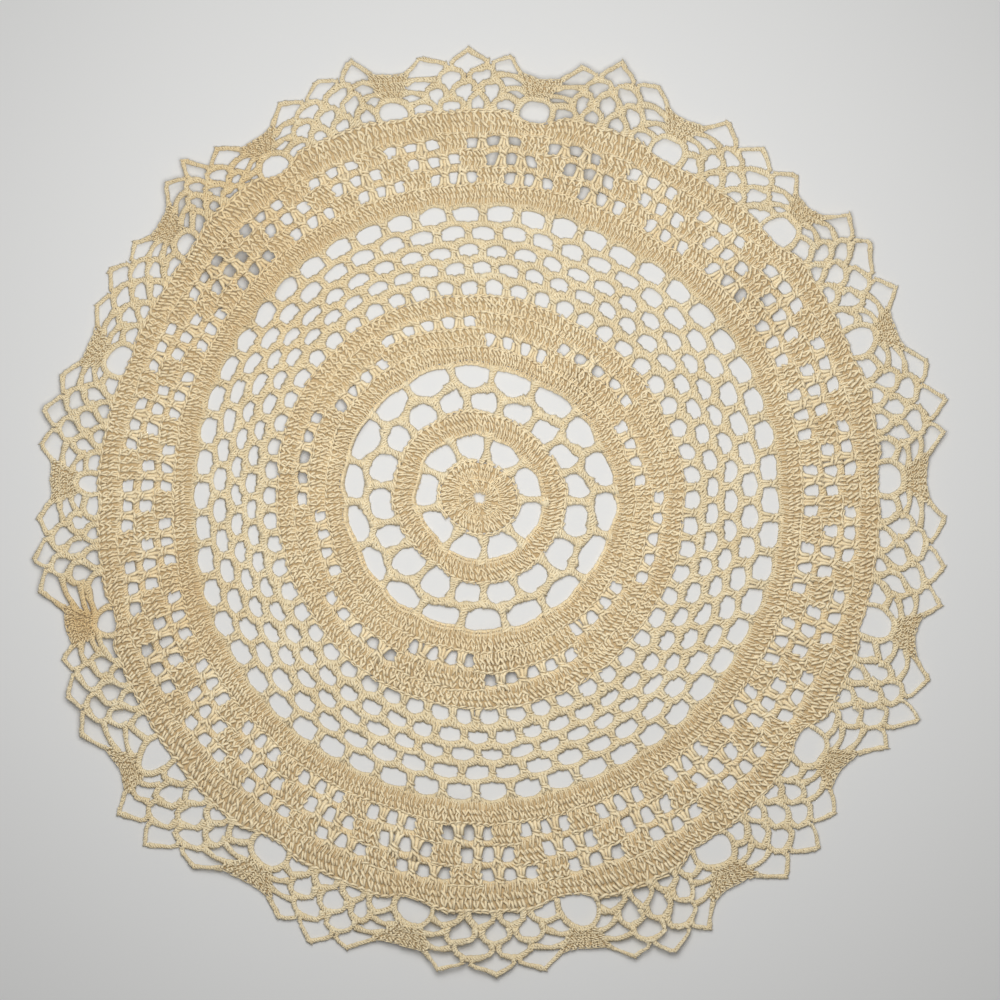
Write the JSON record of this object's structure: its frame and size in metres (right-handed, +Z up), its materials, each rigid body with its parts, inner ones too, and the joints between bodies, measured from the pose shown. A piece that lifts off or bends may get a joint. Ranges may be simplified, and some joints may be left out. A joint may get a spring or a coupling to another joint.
{
  "type": "crocheted lace doily",
  "caption": "Round crocheted lace doily laid flat: dense rounds between open mesh, net loops and a scalloped openwork edge.",
  "frame": {"origin": "middle of the doily's outline, on the surface that it lies on", "axes": "+Z up out of the face of the cloth, which lies in the X-Y plane; the hub of the rounds is a few millimetres off the origin, because the outer rounds lie wider towards -Y"},
  "size_m": [0.3016, 0.3058, 0.0015],
  "materials": {
    "cotton": "matt ecru crocheted cotton"
  },
  "bodies": {
    "root": {"doily": "cotton"}
  },
  "joints": []
}
